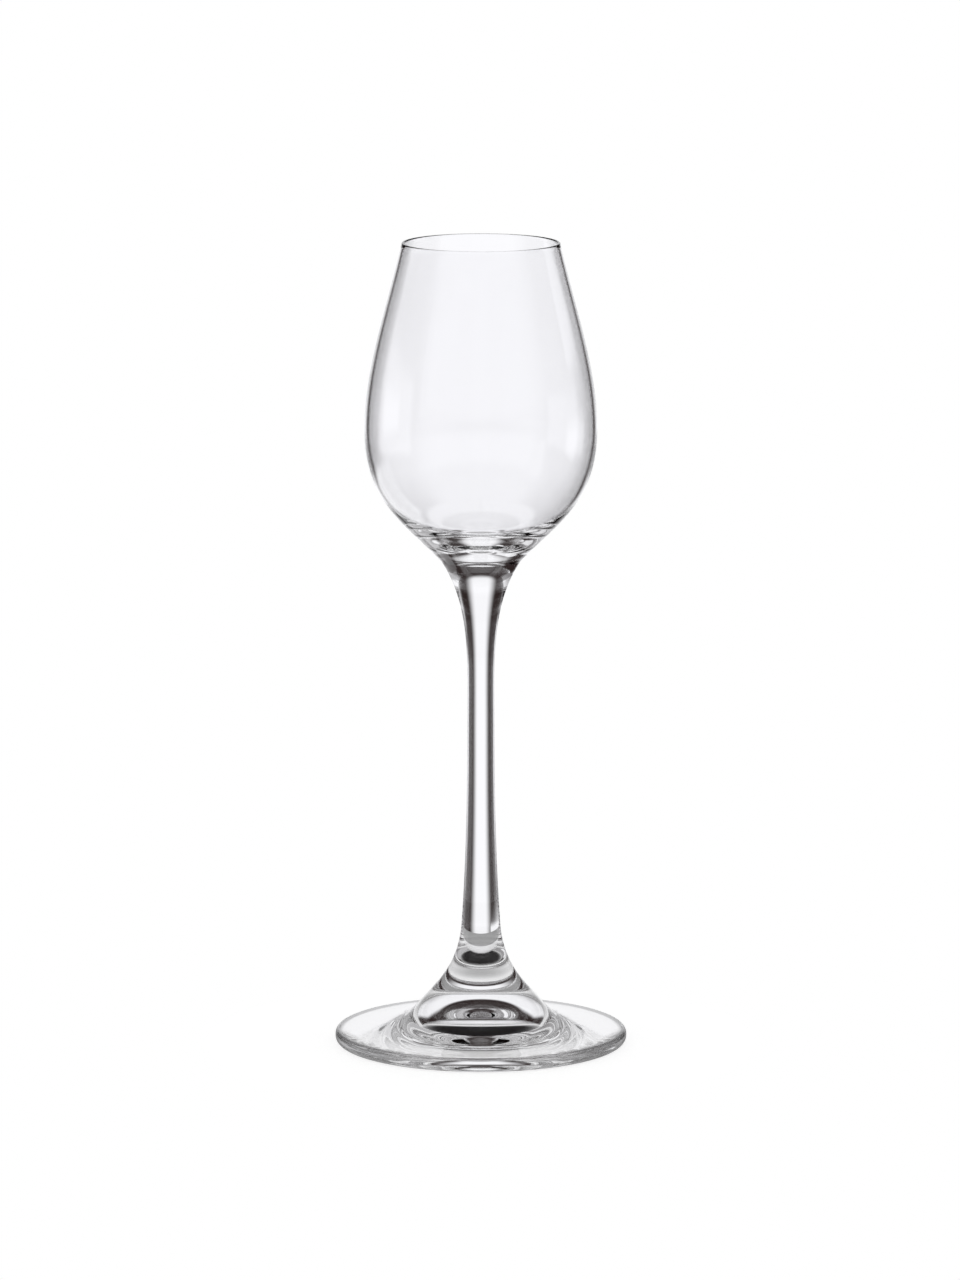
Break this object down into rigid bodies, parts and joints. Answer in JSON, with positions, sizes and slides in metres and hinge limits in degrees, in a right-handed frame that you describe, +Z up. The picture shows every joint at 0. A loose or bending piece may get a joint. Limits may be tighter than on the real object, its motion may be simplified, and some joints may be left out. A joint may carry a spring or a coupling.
{
  "type": "sherry glass",
  "caption": "Clear long-stemmed sherry glass: a tulip bowl that closes in to the mouth, a slim flared stem and a round foot that it stands on.",
  "frame": {"origin": "middle of the flat ring under the foot, on the surface that the glass stands on", "axes": "+Z up along the axis of the glass, towards the rim; +X to the right and -Y towards the viewer of the picture"},
  "size_m": [0.0634, 0.0634, 0.175],
  "materials": {
    "clear_glass": "clear colourless glass, fire polished"
  },
  "bodies": {
    "root": {"foot": "clear_glass", "stem": "clear_glass", "bowl": "clear_glass"}
  },
  "joints": []
}
